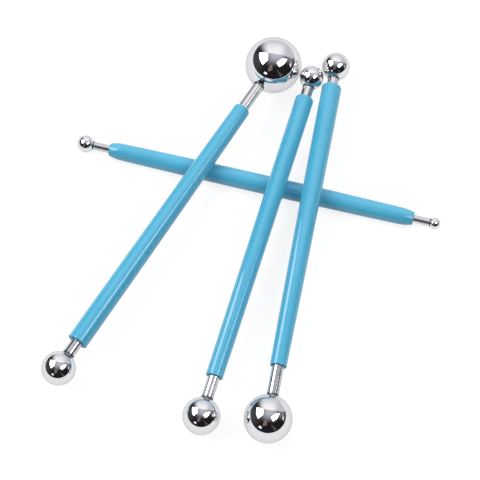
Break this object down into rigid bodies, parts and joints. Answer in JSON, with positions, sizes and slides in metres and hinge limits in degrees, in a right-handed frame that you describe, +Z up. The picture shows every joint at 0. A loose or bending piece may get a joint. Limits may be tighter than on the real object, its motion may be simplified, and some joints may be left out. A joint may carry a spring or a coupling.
{
  "type": "embossing stylus set",
  "caption": "Set of double-ended ball styluses for embossing, dotting and clay, with tapered blue handles, lying crossed as a loose set.",
  "frame": {"origin": "on the table plane, under the centre of the set's bounding box", "axes": "+Z up from the table, +Y away from the viewer along the small, medium and large styluses, +X to the right along the fine stylus"},
  "size_m": [0.1342, 0.1496, 0.02],
  "materials": {
    "handle_plastic": "gloss moulded sky-blue plastic",
    "polished_shaft": "polished steel rod",
    "mirror_ball": "mirror-polished steel ball"
  },
  "bodies": {
    "fine_stylus": {"fine_handle": "handle_plastic", "fine_left_shaft": "polished_shaft", "fine_left_ball": "mirror_ball", "fine_right_shaft": "polished_shaft", "fine_right_ball": "mirror_ball"},
    "small_stylus": {"small_handle": "handle_plastic", "small_near_shaft": "polished_shaft", "small_near_ball": "mirror_ball", "small_far_shaft": "polished_shaft", "small_far_ball": "mirror_ball"},
    "medium_stylus": {"medium_handle": "handle_plastic", "medium_near_shaft": "polished_shaft", "medium_near_ball": "mirror_ball", "medium_far_shaft": "polished_shaft", "medium_far_ball": "mirror_ball"},
    "large_stylus": {"large_handle": "handle_plastic", "large_near_shaft": "polished_shaft", "large_near_ball": "mirror_ball", "large_far_shaft": "polished_shaft", "large_far_ball": "mirror_ball"}
  },
  "joints": [
    {"name": "small_stylus_lift", "type": "slide", "parent": "fine_stylus", "child": "small_stylus", "axis": [0, 0, 1], "range_m": [0, 0.03]},
    {"name": "medium_stylus_lift", "type": "slide", "parent": "fine_stylus", "child": "medium_stylus", "axis": [0, 0, 1], "range_m": [0, 0.03]},
    {"name": "large_stylus_lift", "type": "slide", "parent": "fine_stylus", "child": "large_stylus", "axis": [0, 0, 1], "range_m": [0, 0.03]}
  ]
}
